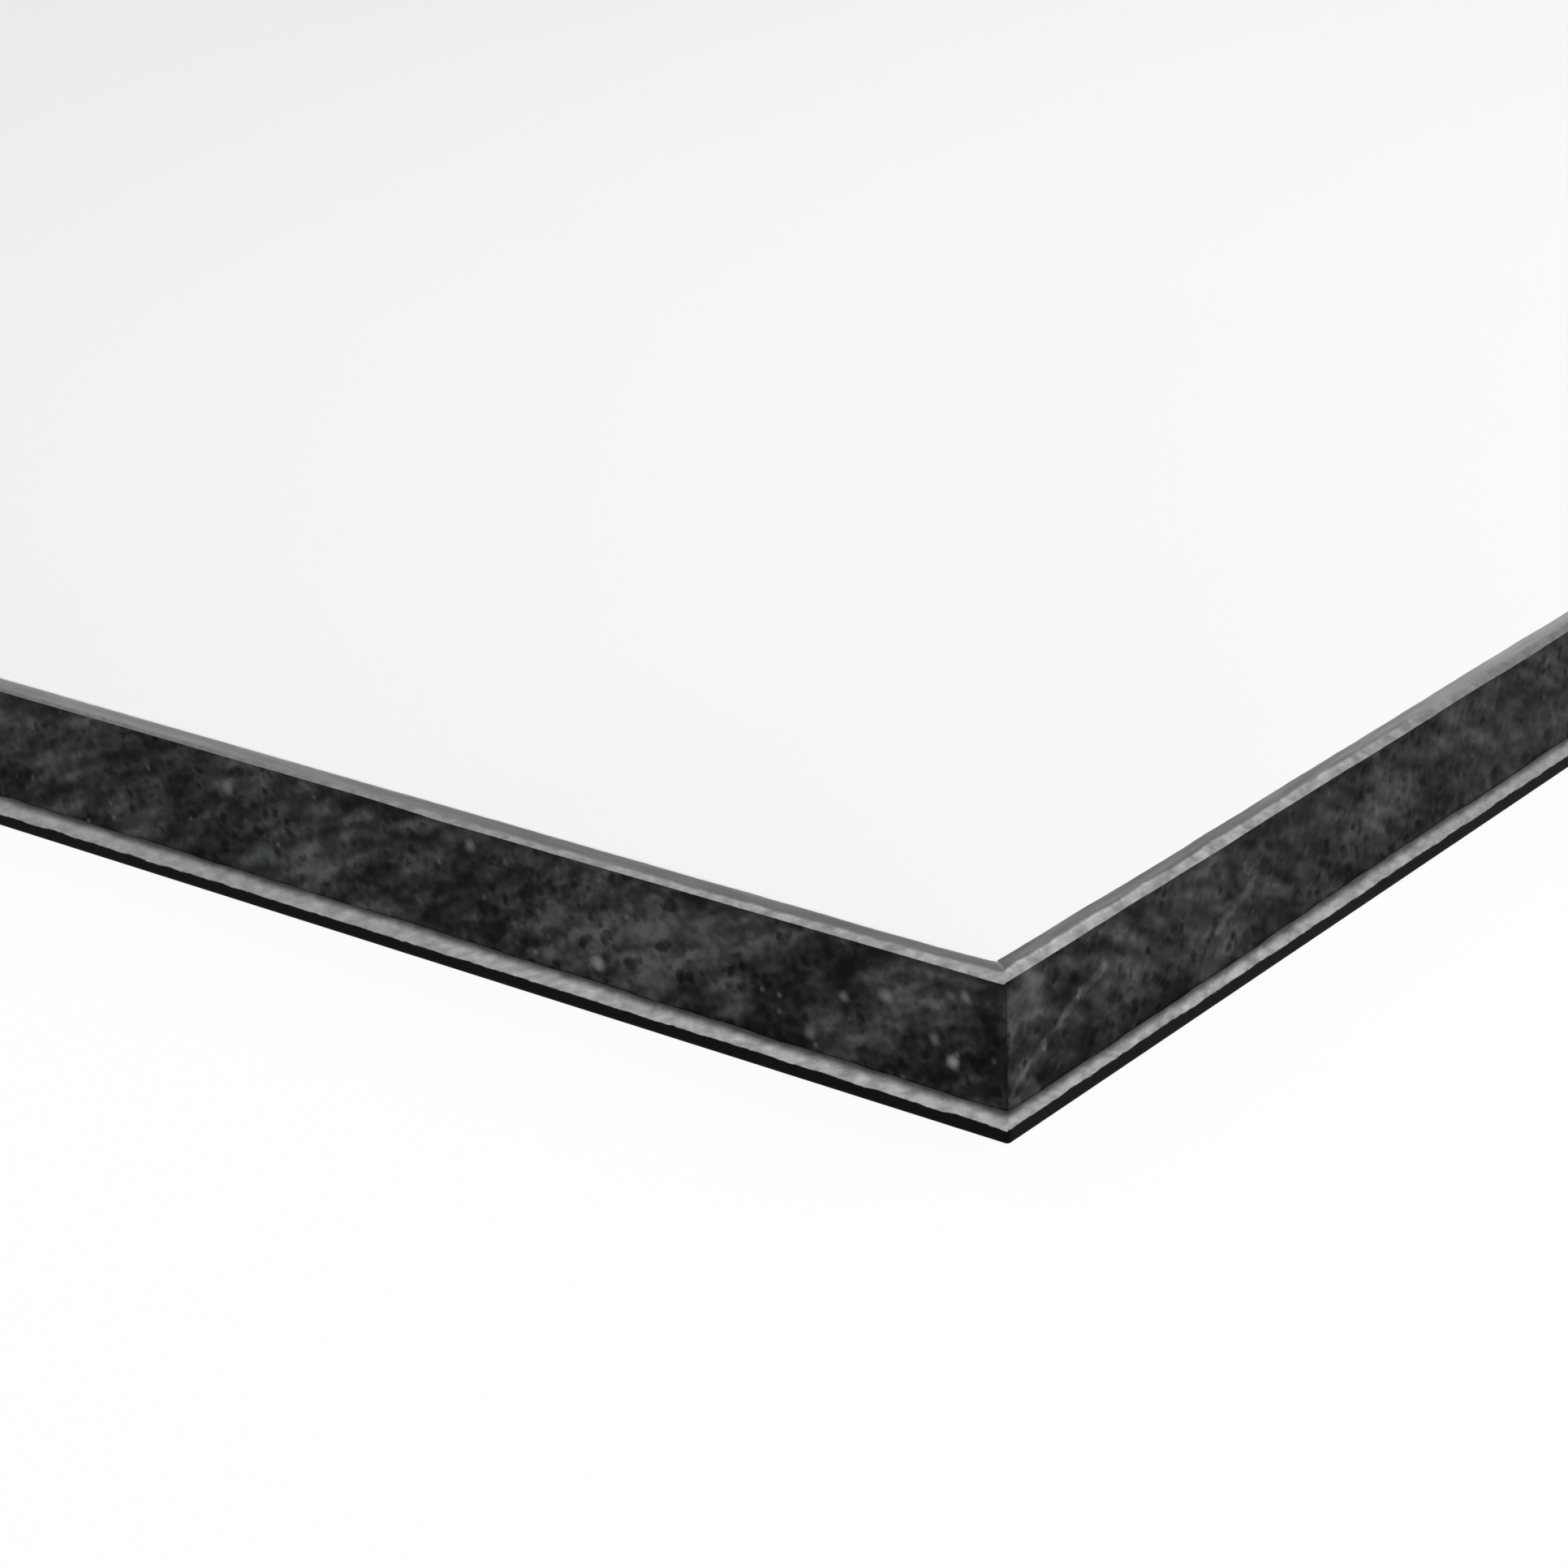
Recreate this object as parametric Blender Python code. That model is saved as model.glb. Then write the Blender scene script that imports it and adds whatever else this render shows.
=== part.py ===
# Aluminium composite panel, 4 mm thick, a 297 x 210 mm cut.
#
# Two coil-coated aluminium skins are bonded over their whole area to a black polyethylene core.
# The panel lies on its back skin with the white face up. The origin is the middle of the back
# face, +X runs along the long side, +Y along the short side and +Z through the thickness.
# Lengths are in metres.

import bpy
import bmesh

MM = 0.001

# Driving dimensions of the board
PANEL_LENGTH = 297.0 * MM
PANEL_WIDTH = 210.0 * MM
PANEL_THICKNESS = 4.0 * MM
SKIN_THICKNESS = 0.5 * MM

# Thickness of each glue film between a skin and the core. The film itself is left open.
BOND_LINE = 0.04 * MM

# How far behind the skins' cut edges the saw leaves the softer core
CORE_SETBACK = 0.03 * MM

# The four upright corners, and the long arrises of the cut edges
CORNER_ROUND = 0.12 * MM
FACE_ARRIS = 0.10 * MM       # round the white face, on the three sides left as sawn
FILED_ARRIS = 0.30 * MM      # round the white face at the +X end, where it was eased with a file
BACK_ARRIS = 0.10 * MM       # round the back face, where the black lacquer turns on to the edge

# Each arris is this many facets wide, and takes at most this share of its skin's thickness
ARRIS_FACETS = 4
ARRIS_LIMIT = 0.9


def finish(name, colour, roughness, metallic):
    material = bpy.data.materials.new(name)
    material.use_nodes = True
    shader = material.node_tree.nodes["Principled BSDF"]
    shader.inputs["Base Color"].default_value = (*colour, 1.0)
    shader.inputs["Roughness"].default_value = roughness
    shader.inputs["Metallic"].default_value = metallic
    return material


def layer(name, length, width, bottom, thickness, materials):
    # One flat layer of the laminate: a rectangular block centred on the origin in plan, with its
    # underside at the given height. Its outer face and its cut edges can differ in finish.
    mesh = bpy.data.meshes.new(name)
    block = bmesh.new()
    bmesh.ops.create_cube(block, size=1.0)
    bmesh.ops.scale(block, vec=(length, width, thickness), verts=block.verts)
    bmesh.ops.translate(block, vec=(0.0, 0.0, thickness / 2), verts=block.verts)
    block.to_mesh(mesh)
    block.free()
    for material in materials:
        mesh.materials.append(material)
    plate = bpy.data.objects.new(name, mesh)
    plate.location = (0.0, 0.0, bottom)
    bpy.context.collection.objects.link(plate)
    return plate


def coat(plate, side):
    # Keeps the first material on the coated side, +1 for the top or -1 for the underside, and
    # gives the sawn edges and the bonded side the second one.
    for face in plate.data.polygons:
        face.material_index = 0 if face.normal.z * side > 0.5 else 1


def ease(plate, width_of, arris_material):
    # Rounds the edges of a block, each to its own width. width_of takes an edge's middle and its
    # direction, in the block's own axes, and gives the width, or zero for an edge left sharp.
    mesh = plate.data
    widths = []
    for edge in mesh.edges:
        start, end = (mesh.vertices[i].co for i in edge.vertices)
        widths.append(width_of((start + end) / 2, (end - start).normalized()))
    widest = max(widths)
    weights = mesh.attributes.new("bevel_weight_edge", "FLOAT", "EDGE")
    for weight, width in zip(weights.data, widths):
        weight.value = width / widest
    bevel = plate.modifiers.new("Eased edges", "BEVEL")
    bevel.width = widest
    bevel.segments = ARRIS_FACETS
    bevel.limit_method = "WEIGHT"
    bevel.miter_outer = "MITER_SHARP"
    bevel.material = arris_material
    return plate


def face_skin(bottom, coating, metal):
    plate = layer("face_skin", PANEL_LENGTH, PANEL_WIDTH, bottom, SKIN_THICKNESS,
                  [coating, metal])
    coat(plate, 1)

    def width_of(middle, along):
        if abs(along.z) > 0.5:
            return CORNER_ROUND
        if middle.z < SKIN_THICKNESS / 2:
            return 0.0
        filed = abs(along.y) > 0.5 and middle.x > 0.0
        return min(FILED_ARRIS if filed else FACE_ARRIS, ARRIS_LIMIT * SKIN_THICKNESS)

    return ease(plate, width_of, 1)


def core(bottom, thickness, polyethylene):
    plate = layer("core", PANEL_LENGTH - 2 * CORE_SETBACK, PANEL_WIDTH - 2 * CORE_SETBACK,
                  bottom, thickness, [polyethylene])

    def width_of(middle, along):
        return CORNER_ROUND if abs(along.z) > 0.5 else 0.0

    return ease(plate, width_of, 0)


def back_skin(bottom, lacquer, metal):
    plate = layer("back_skin", PANEL_LENGTH, PANEL_WIDTH, bottom, SKIN_THICKNESS,
                  [lacquer, metal])
    coat(plate, -1)

    def width_of(middle, along):
        if abs(along.z) > 0.5:
            return CORNER_ROUND
        if middle.z > SKIN_THICKNESS / 2:
            return 0.0
        return min(BACK_ARRIS, ARRIS_LIMIT * SKIN_THICKNESS)

    return ease(plate, width_of, 0)


def build():
    white = finish("White coil coating", (0.86, 0.86, 0.86), 0.30, 0.0)
    mill = finish("Sawn aluminium", (0.33, 0.33, 0.34), 0.45, 1.0)
    black = finish("Black polyethylene", (0.030, 0.031, 0.034), 0.55, 0.0)
    lacquer = finish("Black back lacquer", (0.012, 0.013, 0.014), 0.40, 0.0)

    core_bottom = SKIN_THICKNESS + BOND_LINE
    face_bottom = PANEL_THICKNESS - SKIN_THICKNESS
    core_thickness = face_bottom - BOND_LINE - core_bottom

    panel = bpy.data.objects.new("panel", None)
    bpy.context.collection.objects.link(panel)
    for piece in (back_skin(0.0, lacquer, mill),
                  core(core_bottom, core_thickness, black),
                  face_skin(face_bottom, white, mill)):
        piece.parent = panel


for leftover in list(bpy.data.objects):
    bpy.data.objects.remove(leftover, do_unlink=True)
build()
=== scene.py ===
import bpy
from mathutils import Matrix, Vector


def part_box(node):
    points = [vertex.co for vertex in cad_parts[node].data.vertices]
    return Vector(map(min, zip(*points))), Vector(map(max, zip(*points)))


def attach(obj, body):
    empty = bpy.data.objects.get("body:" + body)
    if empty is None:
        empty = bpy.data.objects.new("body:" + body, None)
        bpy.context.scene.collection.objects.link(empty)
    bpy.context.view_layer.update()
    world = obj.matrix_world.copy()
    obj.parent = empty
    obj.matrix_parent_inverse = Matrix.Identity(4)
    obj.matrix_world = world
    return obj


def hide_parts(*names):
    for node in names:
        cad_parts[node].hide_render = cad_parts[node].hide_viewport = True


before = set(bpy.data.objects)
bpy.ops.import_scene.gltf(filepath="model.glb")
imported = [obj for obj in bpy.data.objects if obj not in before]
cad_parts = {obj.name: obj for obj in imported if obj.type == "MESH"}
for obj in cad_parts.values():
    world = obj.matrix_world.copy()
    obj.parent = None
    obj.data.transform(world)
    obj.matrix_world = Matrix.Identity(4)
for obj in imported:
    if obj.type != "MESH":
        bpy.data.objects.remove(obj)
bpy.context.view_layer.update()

import math

import bpy
import numpy as np
from mathutils import Matrix, Vector

print("frame loaded:", ", ".join(sorted(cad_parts)))

# Lengths below are in mm, and become metres when a mesh, a lamp or the camera is made
metre = 1000.0


def boxOf(node):
    # lowest and highest corner of a CAD node
    return [np.array(corner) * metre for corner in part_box(node)]


faceLow, faceHigh = boxOf("face_skin")
coreLow, coreHigh = boxOf("core")
backHigh = boxOf("back_skin")[1]
halfPlan = faceHigh[:2]
photoCorner = np.array([halfPlan[0], -halfPlan[1], 0.0])     # the corner that the photograph shows


# Random heights, as whole arrays

hashing = {
    "column": 73856093,
    "row": 19349663,
    "seed": 83492791,
    "stir": [(13, 1274126177), (15, 668265263), (16, 1)],    # shift and factor of each round
    "mask": 0xffffffff,
    "layerStep": 17,         # between the seeds of a noise's layers
}


def eased(share):
    # smooth step: 3t^2 - 2t^3 of t held between 0 and 1
    share = np.clip(share, 0.0, 1.0)
    return share * share * (3.0 - 2.0 * share)


def cellValue(column, row, seed):
    # one number in -1..1 for each whole-numbered cell, from an integer hash
    mask = hashing["mask"]
    mixed = (column.astype(np.int64) * hashing["column"]) ^ (row.astype(np.int64) * hashing["row"])
    mixed = (mixed ^ (seed * hashing["seed"])) & mask
    for shift, factor in hashing["stir"]:
        mixed = ((mixed ^ (mixed >> shift)) * factor) & mask
    return mixed / (mask / 2) - 1.0


def cellNoise(across, along, seed):
    # value noise: the four corner values of each unit cell, blended by eased weights
    column, row = np.floor(across), np.floor(along)
    a, b = eased(across - column), eased(along - row)
    near = cellValue(column, row, seed) * (1 - a) + cellValue(column + 1, row, seed) * a
    far = cellValue(column, row + 1, seed) * (1 - a) + cellValue(column + 1, row + 1, seed) * a
    return near * (1 - b) + far * b


def layeredNoise(across, along, cells, seedShift=0):
    # value noise summed over halving cells at halving heights, scaled back to about -1..1. cells
    # gives the first cells' size across and along, the seed and the number of layers.
    acrossSize, alongSize, seed, layers = cells
    across, along = across / acrossSize, along / alongSize
    total, height = 0.0, 1.0
    for layer in range(layers):
        own = seed + seedShift + hashing["layerStep"] * layer
        total = total + height * cellNoise(across * 2 ** layer, along * 2 ** layer, own)
        height *= 0.5
    return total / (2.0 - 2.0 * height)


# The saw's marks

sawCut = {
    "edgeLean": 24.0,        # degrees that the blade's marks climb on the long edges
    "endLean": -27.0,        # and on the ends, which were cut the other way
    "bladeRadius": 115.0,    # bows the marks
    "midHeight": 2.0,
    "turn": 0.02,            # to each side of an upright corner, where one lean passes into the other
}


def alongTheMarks(way, height, onEnd):
    # turns way round the rim and height into across and along the marks: a rotation by the lean,
    # with a parabola of the blade's radius added across
    lean = np.radians(np.where(onEnd, sawCut["endLean"], sawCut["edgeLean"]))
    bow = (height - sawCut["midHeight"]) ** 2 / (2 * sawCut["bladeRadius"])
    across = way * np.sin(lean) - height * np.cos(lean) + bow
    along = way * np.cos(lean) + height * np.sin(lean)
    return across, along


# The rim that the three layers share

rim = {
    "cells": (33, 23),       # coarse cells of the flat faces along X and Y
    "fineStep": 0.09,        # between stations near the photographed corner
    "coarseStep": 0.50,      # far from it
    "fineReach": 52.0,
    "growth": 16.0,          # over this length the step grows
    "cornerRound": 0.12,
    "cornerSteps": 5,
    "sharpOver": 50.0,       # degrees between faces past which an edge is shaded sharp
    "reliefFade": 1.15,      # less how far a profile has rolled over, the share of its relief
}


def sideStations(length, cells, seen):
    # distances along a side from its first corner: every coarse cell is cut evenly, and finer
    # near the photographed corner. The second list marks the stations on inner coarse lines.
    stops, marks = [], []
    lines = np.linspace(0.0, length, cells + 1)
    for low, high in zip(lines[:-1], lines[1:]):
        far = float(eased((low - rim["fineReach"]) / rim["growth"])) if seen else 1.0
        step = rim["fineStep"] + (rim["coarseStep"] - rim["fineStep"]) * far
        marks.append(len(stops))
        stops.extend(np.linspace(low, high, math.ceil((high - low) / step), endpoint=False))
    return np.array(stops + [length]), np.array(marks[1:])


def rimStations():
    # the closed way round, anticlockwise from the photographed corner: each side's stations, then
    # a quarter round. Every station has a point on the rectangle through the corners' centres
    # and an outward direction.
    radius = rim["cornerRound"]
    middle, outward, marks = [], [], []
    count = 0
    for quarter in range(4):
        angle = quarter * math.pi / 2
        ahead = np.array([math.cos(angle), math.sin(angle)])
        side = np.array([-ahead[1], ahead[0]])
        own = quarter % 2
        reach = halfPlan[own] - radius
        length = 2 * (halfPlan[1 - own] - radius)
        stops, lines = sideStations(length, rim["cells"][1 - own], quarter in (0, 3))
        if quarter == 3:
            stops, lines = length - stops[::-1], len(stops) - 1 - lines[::-1]
        middle.append(ahead * reach + side * (stops - length / 2)[:, None])
        outward.append(np.tile(ahead, (len(stops), 1)))
        marks.append(count + lines)
        turn = angle + np.arange(1, rim["cornerSteps"]) / rim["cornerSteps"] * math.pi / 2
        middle.append(np.tile(middle[-1][-1], (len(turn), 1)))
        outward.append(np.stack([np.cos(turn), np.sin(turn)], axis=1))
        count += len(stops) + len(turn)
    stations = {"middle": np.concatenate(middle), "outward": np.concatenate(outward),
                "marks": np.concatenate(marks)}
    nominal = stations["middle"] + radius * stations["outward"]
    stations["way"] = nominal.sum(axis=1)
    stations["fromCorner"] = np.abs(nominal - photoCorner[:2]).sum(axis=1)
    stations["filed"] = np.clip(stations["outward"][:, 0], 0.0, 1.0) ** 2
    stations["onEnd"] = (stations["outward"][:, 0] ** 2 > 0.5)[:, None]
    return stations


def carried(stations, insetX, insetY, height, relief):
    # carries a profile round the rim: each station's middle point is pulled in along X and Y by
    # the insets, moved out by the corner's round, which shrinks with the inset, and by the relief
    radius = rim["cornerRound"]
    tight = radius * np.exp(-np.maximum(insetX, insetY) / radius)
    points = np.empty(height.shape + (3,))
    for axis, inset in ((0, insetX), (1, insetY)):
        middle = stations["middle"][:, axis][:, None]
        share = middle / (halfPlan[axis] - radius)
        pulled = middle - share * (inset + tight - radius)
        points[..., axis] = pulled + stations["outward"][:, axis][:, None] * (tight + relief)
    points[..., 2] = height
    return points


def reliefLeft(roll):
    # share of a cut's relief that is left where its profile has rolled towards a flat face
    return np.clip(rim["reliefFade"] - roll, 0, 1)


def innerGrid(height):
    # the coarse grid inside a flat face, row by row along Y, and the vertices of its rim in the
    # order of the marks round the stations
    radius = rim["cornerRound"]
    xCells, yCells = rim["cells"]
    xs = np.linspace(-1, 1, xCells + 1)[1:-1] * (halfPlan[0] - radius)
    ys = np.linspace(-1, 1, yCells + 1)[1:-1] * (halfPlan[1] - radius)
    gridX, gridY = np.meshgrid(xs, ys)
    points = np.stack([gridX, gridY, np.full_like(gridX, height)], axis=-1).reshape(-1, 3)
    index = np.arange(len(points)).reshape(gridX.shape)
    around = np.concatenate([index[:, -1], index[-1, ::-1], index[::-1, 0], index[0, :]])
    quads = np.stack([index[:-1, :-1], index[:-1, 1:], index[1:, 1:], index[1:, :-1]], axis=-1)
    return points, around, quads.reshape(-1, 4)


def flatFace(stations, outerIndex, height, start, upward):
    # closes a layer with a flat face: the coarse grid, and between it and the rim one polygon
    # for each pair of marks, which takes in all the fine stations between them
    points, around, quads = innerGrid(height)
    count = len(outerIndex)
    marks = stations["marks"]
    polygons = (quads + start).tolist()
    for place in range(len(marks)):
        following = (place + 1) % len(marks)
        last = marks[following] + (count if following == 0 else 0)
        polygon = outerIndex[np.arange(marks[place], last + 1) % count].tolist()
        inner = [start + int(around[following])]
        if around[following] != around[place]:
            inner.append(start + int(around[place]))
        polygons.append(polygon + inner)
    if not upward:
        polygons = [polygon[::-1] for polygon in polygons]
    return points, polygons


def layerPiece(name, node, stations, points, values):
    # one closed layer: the carried profile as quads, with a flat face at each end of the profile.
    # values holds, under each attribute's name, one number for each carried point.
    rows, columns = points.shape[:2]
    index = np.arange(rows * columns).reshape(rows, columns)
    ahead = np.roll(index, -1, axis=0)
    quads = np.stack([index[:, :-1], ahead[:, :-1], ahead[:, 1:], index[:, 1:]], axis=-1)
    quads = quads.reshape(-1, 4)
    lowHeight, highHeight = points[0, 0, 2], points[0, -1, 2]
    lowPoints, lowFaces = flatFace(stations, index[:, 0], lowHeight, rows * columns, False)
    highStart = rows * columns + len(lowPoints)
    highPoints, highFaces = flatFace(stations, index[:, -1], highHeight, highStart, True)
    everyPoint = np.concatenate([points.reshape(-1, 3), lowPoints, highPoints]) / metre
    mesh = bpy.data.meshes.new(name)
    mesh.from_pydata(everyPoint, [], quads.tolist() + lowFaces + highFaces)
    smooth = np.zeros(len(mesh.polygons), dtype=bool)
    smooth[:len(quads)] = True
    mesh.polygons.foreach_set("use_smooth", smooth)
    mesh.set_sharp_from_angle(angle=math.radians(rim["sharpOver"]))
    for label, value in values.items():
        inLow, inHigh = np.full(len(lowPoints), value[0, 0]), np.full(len(highPoints), value[0, -1])
        everyValue = np.concatenate([value.ravel(), inLow, inHigh])
        mesh.attributes.new(label, "FLOAT", "POINT").data.foreach_set("value", everyValue)
    mesh.update()
    piece = bpy.data.objects.new(name, mesh)
    bpy.context.scene.collection.objects.link(piece)
    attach(piece, "root")
    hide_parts(node)
    print(name, "made:", len(mesh.polygons), "faces")
    return piece


# Bare cut metal, on both skins

metalCut = {
    # noise cells: size across and along the marks, seed and layers
    "markCells": (0.11, 2.4, 0, 2),
    "grainCells": (0.16, 0.16, 5, 2),
    "markShare": 0.7,
    "grainShare": 0.3,
}


def metalRelief(way, height, onEnd, seed):
    # fine saw marks in the soft metal: long thin noise cells along the marks, and a little grain
    across, along = alongTheMarks(way, height, onEnd)
    marks = layeredNoise(across, along, metalCut["markCells"], seed)
    grain = layeredNoise(way, height, metalCut["grainCells"], seed)
    return metalCut["markShare"] * marks + metalCut["grainShare"] * grain


# Face skin: white coated aluminium, with its arris eased and its cut edge bare

faceSkin = {
    "arris": 0.10,           # as sawn, on three sides
    "filedArris": 0.30,      # eased wider with a file, at the right-hand end
    "cornerExtra": 0.065,    # wider still towards the photographed corner
    "cornerReach": 2.6,
    "cornerDepth": 0.5,      # share of that extra width by which the arris is deeper too
    "unevenness": 0.12,      # share by which the arris width wanders
    "wanderCells": (3.1, 1.0, 71, 4),
    "recess": 0.050,         # behind the black smear that the saw dragged up from the core
    "recessReach": 0.03,
    "scratch": 0.0015,       # height of the saw's marks in the metal
    "scratchSeed": 103,
    "back": 0.005,           # mean depth of the cut behind the box
    "coatEnd": 0.065,        # how far the coating reaches down the arris
    "filedCoatEnd": 0.020,   # and where the file took more of it off
    "coatTurn": 0.4,         # distance over which the one passes into the other
    "cutPoints": 9,
    "arrisPoints": 8,
}


def arrisWidths(stations, plain, filed):
    # width of the arris measured along X and along Y at each station, and its depth: the filed
    # width at the right-hand end, both growing towards the photographed corner and wandering
    way = stations["way"]
    wander = 1 + faceSkin["unevenness"] * layeredNoise(way, way * 0.0, faceSkin["wanderCells"])
    near = faceSkin["cornerExtra"] * np.exp(-stations["fromCorner"] / faceSkin["cornerReach"])
    alongX = np.where(stations["middle"][:, 0] > 0, filed, plain) * wander + near
    alongY = plain * wander + near
    depth = (plain + (filed - plain) * stations["filed"]) * wander + faceSkin["cornerDepth"] * near
    return alongX[:, None], alongY[:, None], depth[:, None]


def makeFaceSkin(stations):
    # profile from the bonded side up the cut, round the arris and on to the white face
    way = stations["way"][:, None]
    alongX, alongY, depth = arrisWidths(stations, faceSkin["arris"], faceSkin["filedArris"])
    cut = np.linspace(0.0, 1.0, faceSkin["cutPoints"])
    turn = np.linspace(0.0, 1.0, faceSkin["arrisPoints"])[1:]
    low, high = faceLow[2], faceHigh[2]
    cutHeight = low + (high - depth - low) * cut
    arrisHeight = high - depth * (1 - np.sin(turn * math.pi / 2))
    height = np.concatenate([cutHeight, arrisHeight], axis=1)
    roll = np.concatenate([np.zeros(len(cut)), 1 - np.cos(turn * math.pi / 2)])
    reach = faceSkin["recessReach"]
    hidden = 1 - eased((height - smearTop(stations)[:, None] + reach) / reach)
    scratches = metalRelief(way, height, stations["onEnd"], faceSkin["scratchSeed"])
    relief = faceSkin["scratch"] * scratches - faceSkin["back"] - faceSkin["recess"] * hidden
    relief = np.minimum(relief * reliefLeft(roll), 0.0)
    points = carried(stations, alongX * roll, alongY * roll, height, relief)
    arc = depth * math.pi / 2
    belowFace = np.concatenate([arc + cutHeight[:, -1:] - cutHeight, arc * (1 - turn)], axis=1)
    filed = stations["filed"][:, None]
    corner = np.exp(-stations["fromCorner"] / faceSkin["coatTurn"])[:, None]
    coatEnd, filedCoatEnd = faceSkin["coatEnd"], faceSkin["filedCoatEnd"]
    coatEnd = coatEnd + (filedCoatEnd - coatEnd) * np.maximum(filed, corner)
    values = {"belowCoat": belowFace - coatEnd, "filed": np.tile(filed, height.shape[1])}
    return layerPiece("white_faced_skin", "face_skin", stations, points, values)


# Back skin: black lacquered aluminium. The black on its lower arris and up the foot of the cut is
# painted shadow, the dark line under the panel's edge

backSkin = {
    "arris": 0.10,
    "shadowBandTop": 0.335,     # height up to which the black reaches up the cut: painted shadow
    "endShadowBandTop": 0.370,  # and at the ends
    "back": 0.004,
    "scratch": 0.003,
    "scratchSeed": 131,
    "lip": 0.275,            # burr that the saw dragged up over the core
    "lipFar": 0.070,         # and this much more, over these distances from the photographed corner
    "lipReach": (5.0, 16.0),
    "lipWander": 0.040,
    "lipCells": (1.1, 1.0, 307, 4),
    "lipThickness": 0.010,
    "arrisPoints": 7,
    "cutPoints": 11,
}


def lipTop(stations):
    # height of the burr's upper edge: the joint, the burr and a little noise
    way = stations["way"]
    low, high = backSkin["lipReach"]
    far = eased((stations["fromCorner"] - low) / (high - low))
    ragged = layeredNoise(way, way * 0.0, backSkin["lipCells"])
    lip = backSkin["lip"] + backSkin["lipFar"] * far
    return backHigh[2] + lip + backSkin["lipWander"] * ragged


def makeBackSkin(stations):
    # profile from the back face round the arris, up the cut to the burr's ragged tip, and down
    # behind the burr to the bonded side
    way = stations["way"][:, None]
    radius = backSkin["arris"]
    turn = np.linspace(0.0, math.pi / 2, backSkin["arrisPoints"])
    tip = lipTop(stations)[:, None]
    cut = np.linspace(0.0, 1.0, backSkin["cutPoints"])[1:]
    arrisHeight = np.tile(radius * (1 - np.cos(turn)), (len(way), 1))
    height = np.concatenate([arrisHeight, radius + (tip - radius) * cut], axis=1)
    roll = np.concatenate([1 - np.sin(turn), np.zeros(len(cut))])
    scratches = metalRelief(way, height, stations["onEnd"], backSkin["scratchSeed"])
    relief = backSkin["scratch"] * scratches - backSkin["back"]
    relief = np.minimum(relief * reliefLeft(roll), 0.0)
    behind = relief[:, -1:] - backSkin["lipThickness"]
    height = np.concatenate([height, tip, np.full(tip.shape, backHigh[2])], axis=1)
    relief = np.concatenate([relief, behind, behind], axis=1)
    roll = np.tile(np.concatenate([roll, [0.0, 0.0]]), (len(way), 1))
    points = carried(stations, radius * roll, radius * roll, height, relief)
    return layerPiece("black_backed_skin", "back_skin", stations, points, {})


# Core: sawn black polyethylene

coreEdge = {
    "back": 0.036,           # mean depth of the sawn face behind the skins' edges
    "lipBack": 0.024,        # and behind the back skin's burr
    "lipReach": 0.12,        # over this height above the burr the one passes into the other
    "streak": 0.008,         # heights of the relief's parts, and the noise cells of each: size
    "streakCells": (0.20, 1.1, 3, 3),      # across and along, seed and layers
    "band": 0.014,
    "bandCells": (1.1, 3.0, 11, 2),
    "grain": 0.014,
    "grainCells": (0.25, 0.25, 29, 3),
    "pit": 0.050,
    "pitCells": (0.24, 0.46, 41, 2),
    "pitFrom": 0.26,         # noise at which the pits start
    "pitRange": 0.36,        # and over which they deepen
    "calm": 0.85,            # share of the relief that is lost on the smear and behind the burr
    "shallowest": 0.001,
    "smear": 0.090,          # how far the saw dragged it up over the face skin
    "endSmear": 0.160,       # and at the ends
    "smearFar": 0.055,       # more on the long edges, over these distances from the corner
    "smearReach": (11.0, 22.0),
    "smearWander": 0.010,
    "smearCells": (2.7, 1.0, 211, 4),
    "smearBack": 0.012,
    "smearLift": 0.10,       # below the smear, the height over which the face comes out to it
    "smearThickness": 0.022,
    "film": 0.035,           # the glue film, which fills the bond line
    "points": 27,
}


def smearTop(stations):
    # height of the smear's upper edge: the joint, the smear and a little noise
    way = stations["way"]
    low, high = coreEdge["smearReach"]
    far = eased((stations["fromCorner"] - low) / (high - low))
    ragged = layeredNoise(way, way * 0.0, coreEdge["smearCells"])
    smear = coreEdge["smear"] + coreEdge["smearFar"] * far
    smear = smear + (coreEdge["endSmear"] - smear) * stations["outward"][:, 0] ** 2
    return faceLow[2] + smear + coreEdge["smearWander"] * ragged


def coreRelief(way, height, onEnd):
    # streaks, broad bands and torn pits along the saw's marks, and round grain. The pits are where
    # a coarse noise is high. Gives the height and how far each point is torn, 0 to 1.
    across, along = alongTheMarks(way, height, onEnd)
    relief = coreEdge["streak"] * layeredNoise(across, along, coreEdge["streakCells"])
    relief = relief + coreEdge["band"] * layeredNoise(across, along, coreEdge["bandCells"])
    relief = relief + coreEdge["grain"] * layeredNoise(way, height, coreEdge["grainCells"])
    pits = layeredNoise(across, along, coreEdge["pitCells"])
    torn = eased((pits - coreEdge["pitFrom"]) / coreEdge["pitRange"])
    return relief - coreEdge["pit"] * torn, torn


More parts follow.
